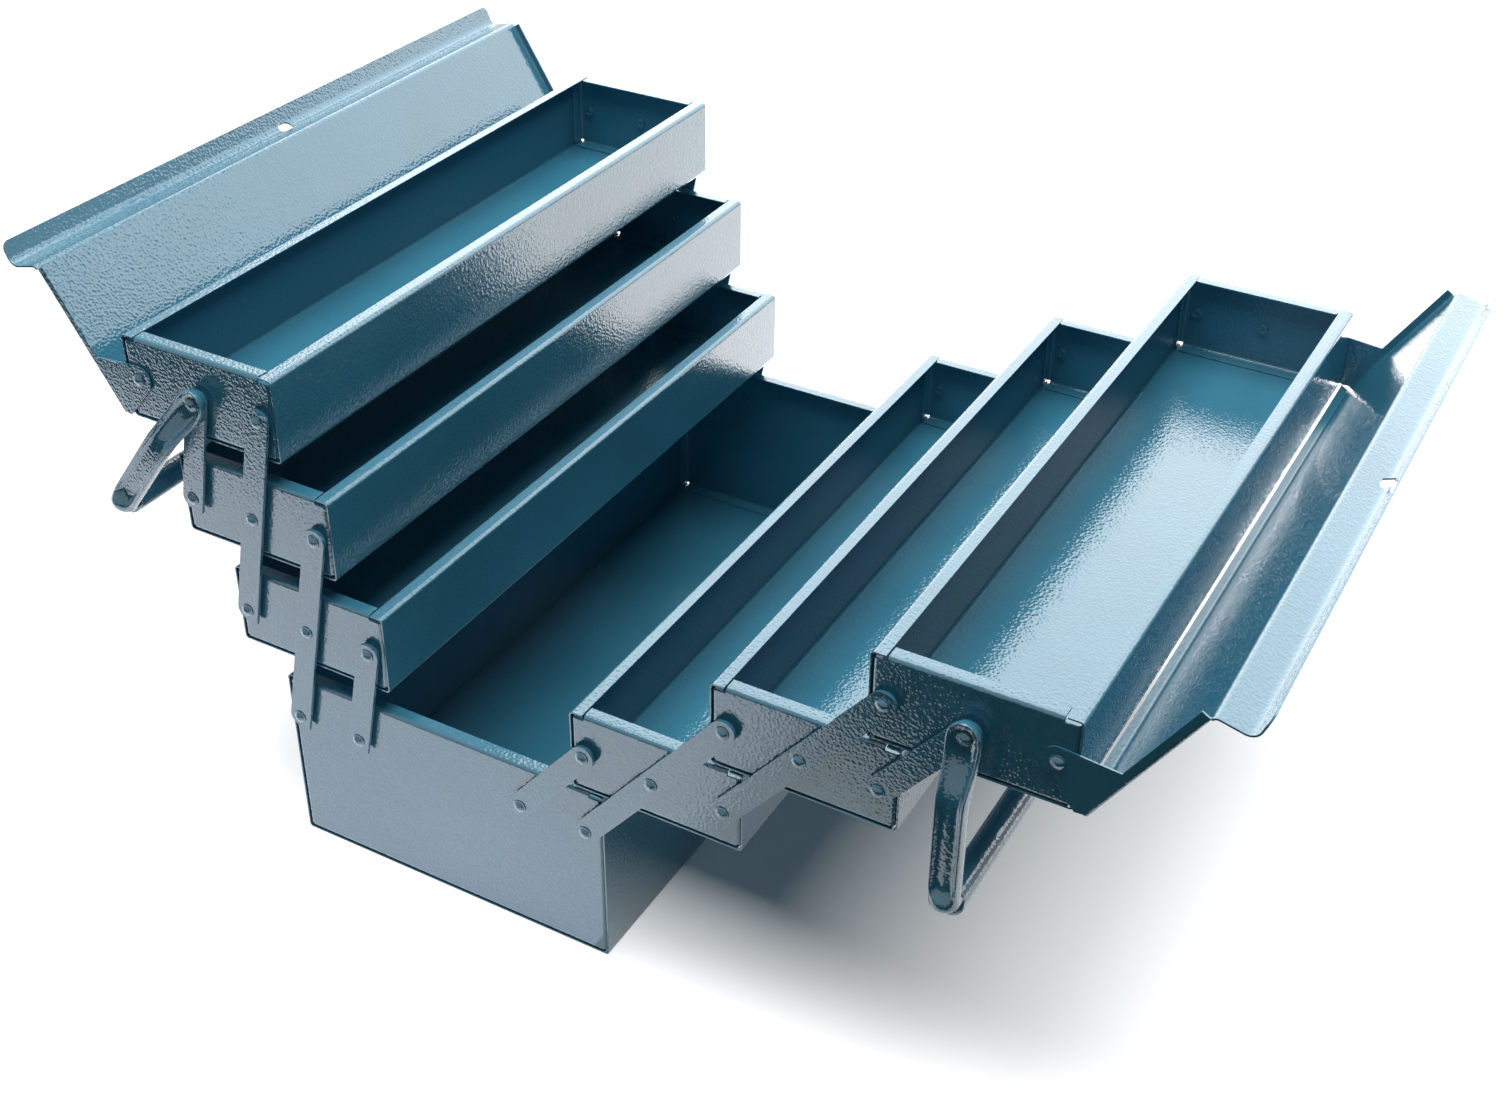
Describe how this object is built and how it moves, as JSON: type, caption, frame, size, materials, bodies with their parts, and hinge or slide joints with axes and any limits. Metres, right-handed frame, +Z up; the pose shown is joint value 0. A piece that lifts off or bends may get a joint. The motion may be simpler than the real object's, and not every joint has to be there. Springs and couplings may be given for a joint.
{
  "type": "cantilever tool box",
  "caption": "Sheet steel tool box whose trays swing out in two stacks on flat links, with a hinged lid and a tubular bail handle on each top tray.",
  "frame": {"origin": "centre of the underside of the base", "axes": "+X to the right across the width, the way the right stack opens; +Y along the length towards the rear end; +Z up"},
  "size_m": [0.7285, 0.5004, 0.3573],
  "materials": {
    "sheet_paint": "glossy hammered teal paint",
    "link_paint": "glossy teal grey paint",
    "rivet_paint": "glossy teal paint over domed rivets",
    "handle_paint": "glossy hammered teal paint"
  },
  "bodies": {
    "base": {"base_pan": "sheet_paint", "base_end_front": "sheet_paint", "base_end_rear": "sheet_paint", "base_rivets": "rivet_paint", "base_spacers": "rivet_paint"},
    "tray_1_left": {"tray_1_left_pan": "sheet_paint", "tray_1_left_end_front": "sheet_paint", "tray_1_left_end_rear": "sheet_paint", "tray_1_left_rivets": "rivet_paint", "tray_1_left_spacers": "rivet_paint"},
    "tray_2_left": {"tray_2_left_pan": "sheet_paint", "tray_2_left_end_front": "sheet_paint", "tray_2_left_end_rear": "sheet_paint", "tray_2_left_rivets": "rivet_paint", "tray_2_left_spacers": "rivet_paint"},
    "tray_3_left": {"tray_3_left_pan": "sheet_paint", "tray_3_left_end_front": "sheet_paint", "tray_3_left_end_rear": "sheet_paint", "tray_3_left_rivets": "rivet_paint", "tray_3_left_spacers": "rivet_paint", "handle_rivets_left": "rivet_paint"},
    "link_a_left": {"link_a_left_front": "link_paint", "link_a_left_rear": "link_paint"},
    "link_b_left": {"link_b_left_front": "link_paint", "link_b_left_rear": "link_paint"},
    "link_c_left": {"link_c_left_front": "link_paint", "link_c_left_rear": "link_paint"},
    "link_d_left": {"link_d_left_front": "link_paint", "link_d_left_rear": "link_paint"},
    "lid_left": {"lid_left": "sheet_paint"},
    "handle_left": {"handle_left": "handle_paint"},
    "tray_1_right": {"tray_1_right_pan": "sheet_paint", "tray_1_right_end_front": "sheet_paint", "tray_1_right_end_rear": "sheet_paint", "tray_1_right_rivets": "rivet_paint", "tray_1_right_spacers": "rivet_paint"},
    "tray_2_right": {"tray_2_right_pan": "sheet_paint", "tray_2_right_end_front": "sheet_paint", "tray_2_right_end_rear": "sheet_paint", "tray_2_right_rivets": "rivet_paint", "tray_2_right_spacers": "rivet_paint"},
    "tray_3_right": {"tray_3_right_pan": "sheet_paint", "tray_3_right_end_front": "sheet_paint", "tray_3_right_end_rear": "sheet_paint", "tray_3_right_rivets": "rivet_paint", "tray_3_right_spacers": "rivet_paint", "handle_rivets_right": "rivet_paint"},
    "link_a_right": {"link_a_right_front": "link_paint", "link_a_right_rear": "link_paint"},
    "link_b_right": {"link_b_right_front": "link_paint", "link_b_right_rear": "link_paint"},
    "link_c_right": {"link_c_right_front": "link_paint", "link_c_right_rear": "link_paint"},
    "link_d_right": {"link_d_right_front": "link_paint", "link_d_right_rear": "link_paint"},
    "lid_right": {"lid_right": "sheet_paint"},
    "handle_right": {"handle_right": "handle_paint"}
  },
  "joints": [
    {"name": "left_open", "type": "hinge", "parent": "base", "child": "link_b_left", "pos_m": [-0.1002, 0, 0.0938], "axis": [0, -1, 0], "range_deg": [-27.1, 51.1]},
    {"name": "left_link_a", "type": "hinge", "parent": "base", "child": "link_a_left", "pos_m": [-0.0568, 0, 0.0938], "axis": [0, -1, 0], "range_deg": [-27.1, 51.1]},
    {"name": "left_tray_1", "type": "hinge", "parent": "link_b_left", "child": "tray_1_left", "pos_m": [-0.08589, 0, 0.16111], "axis": [0, -1, 0], "range_deg": [-51.1, 27.1]},
    {"name": "left_tray_2", "type": "hinge", "parent": "link_b_left", "child": "tray_2_left", "pos_m": [-0.07159, 0, 0.22842], "axis": [0, -1, 0], "range_deg": [-51.1, 27.1]},
    {"name": "left_link_c", "type": "hinge", "parent": "tray_1_left", "child": "link_c_left", "pos_m": [-0.12929, 0, 0.16111], "axis": [0, -1, 0], "range_deg": [-27.1, 51.1]},
    {"name": "left_tray_3", "type": "hinge", "parent": "link_c_left", "child": "tray_3_left", "pos_m": [-0.10068, 0, 0.29573], "axis": [0, -1, 0], "range_deg": [-51.1, 27.1]},
    {"name": "left_link_d", "type": "hinge", "parent": "tray_2_left", "child": "link_d_left", "pos_m": [-0.15839, 0, 0.22842], "axis": [0, -1, 0], "range_deg": [-27.1, 51.1]},
    {"name": "left_lid", "type": "hinge", "parent": "tray_3_left", "child": "lid_left", "pos_m": [-0.18748, 0, 0.29573], "axis": [0, 1, 0], "range_deg": [0, 122]},
    {"name": "left_handle", "type": "hinge", "parent": "tray_3_left", "child": "handle_left", "pos_m": [-0.14408, 0, 0.29573], "axis": [0, 1, 0], "range_deg": [0, 170.97]},
    {"name": "right_open", "type": "hinge", "parent": "base", "child": "link_b_right", "pos_m": [0.1002, 0, 0.0938], "axis": [0, 1, 0], "range_deg": [-78.2, 0]},
    {"name": "right_link_a", "type": "hinge", "parent": "base", "child": "link_a_right", "pos_m": [0.0568, 0, 0.0938], "axis": [0, 1, 0], "range_deg": [-78.2, 0]},
    {"name": "right_tray_1", "type": "hinge", "parent": "link_b_right", "child": "tray_1_right", "pos_m": [0.1436, 0, 0.1472], "axis": [0, 1, 0], "range_deg": [0, 78.2]},
    {"name": "right_tray_2", "type": "hinge", "parent": "link_b_right", "child": "tray_2_right", "pos_m": [0.187, 0, 0.2006], "axis": [0, 1, 0], "range_deg": [0, 78.2]},
    {"name": "right_link_c", "type": "hinge", "parent": "tray_1_right", "child": "link_c_right", "pos_m": [0.187, 0, 0.1472], "axis": [0, 1, 0], "range_deg": [-78.2, 0]},
    {"name": "right_tray_3", "type": "hinge", "parent": "link_c_right", "child": "tray_3_right", "pos_m": [0.2738, 0, 0.254], "axis": [0, 1, 0], "range_deg": [0, 78.2]},
    {"name": "right_link_d", "type": "hinge", "parent": "tray_2_right", "child": "link_d_right", "pos_m": [0.2738, 0, 0.2006], "axis": [0, 1, 0], "range_deg": [-78.2, 0]},
    {"name": "right_lid", "type": "hinge", "parent": "tray_3_right", "child": "lid_right", "pos_m": [0.3606, 0, 0.254], "axis": [0, -1, 0], "range_deg": [0, 122]},
    {"name": "right_handle", "type": "hinge", "parent": "link_d_right", "child": "handle_right", "pos_m": [0.3172, 0, 0.254], "axis": [0, -1, 0], "range_deg": [0, 129.77]}
  ],
  "couplings": [
    {"joint": "left_link_a", "follows": "left_open", "ratio": 1},
    {"joint": "left_tray_1", "follows": "left_open", "ratio": -1},
    {"joint": "left_tray_2", "follows": "left_open", "ratio": -1},
    {"joint": "left_link_c", "follows": "left_open", "ratio": 1},
    {"joint": "left_tray_3", "follows": "left_open", "ratio": -1},
    {"joint": "left_link_d", "follows": "left_open", "ratio": 1},
    {"joint": "left_handle", "follows": "left_lid", "ratio": 1.4014},
    {"joint": "right_link_a", "follows": "right_open", "ratio": 1},
    {"joint": "right_tray_1", "follows": "right_open", "ratio": -1},
    {"joint": "right_tray_2", "follows": "right_open", "ratio": -1},
    {"joint": "right_link_c", "follows": "right_open", "ratio": 1},
    {"joint": "right_tray_3", "follows": "right_open", "ratio": -1},
    {"joint": "right_link_d", "follows": "right_open", "ratio": 1},
    {"joint": "right_handle", "follows": "right_lid", "ratio": 1.0636}
  ]
}
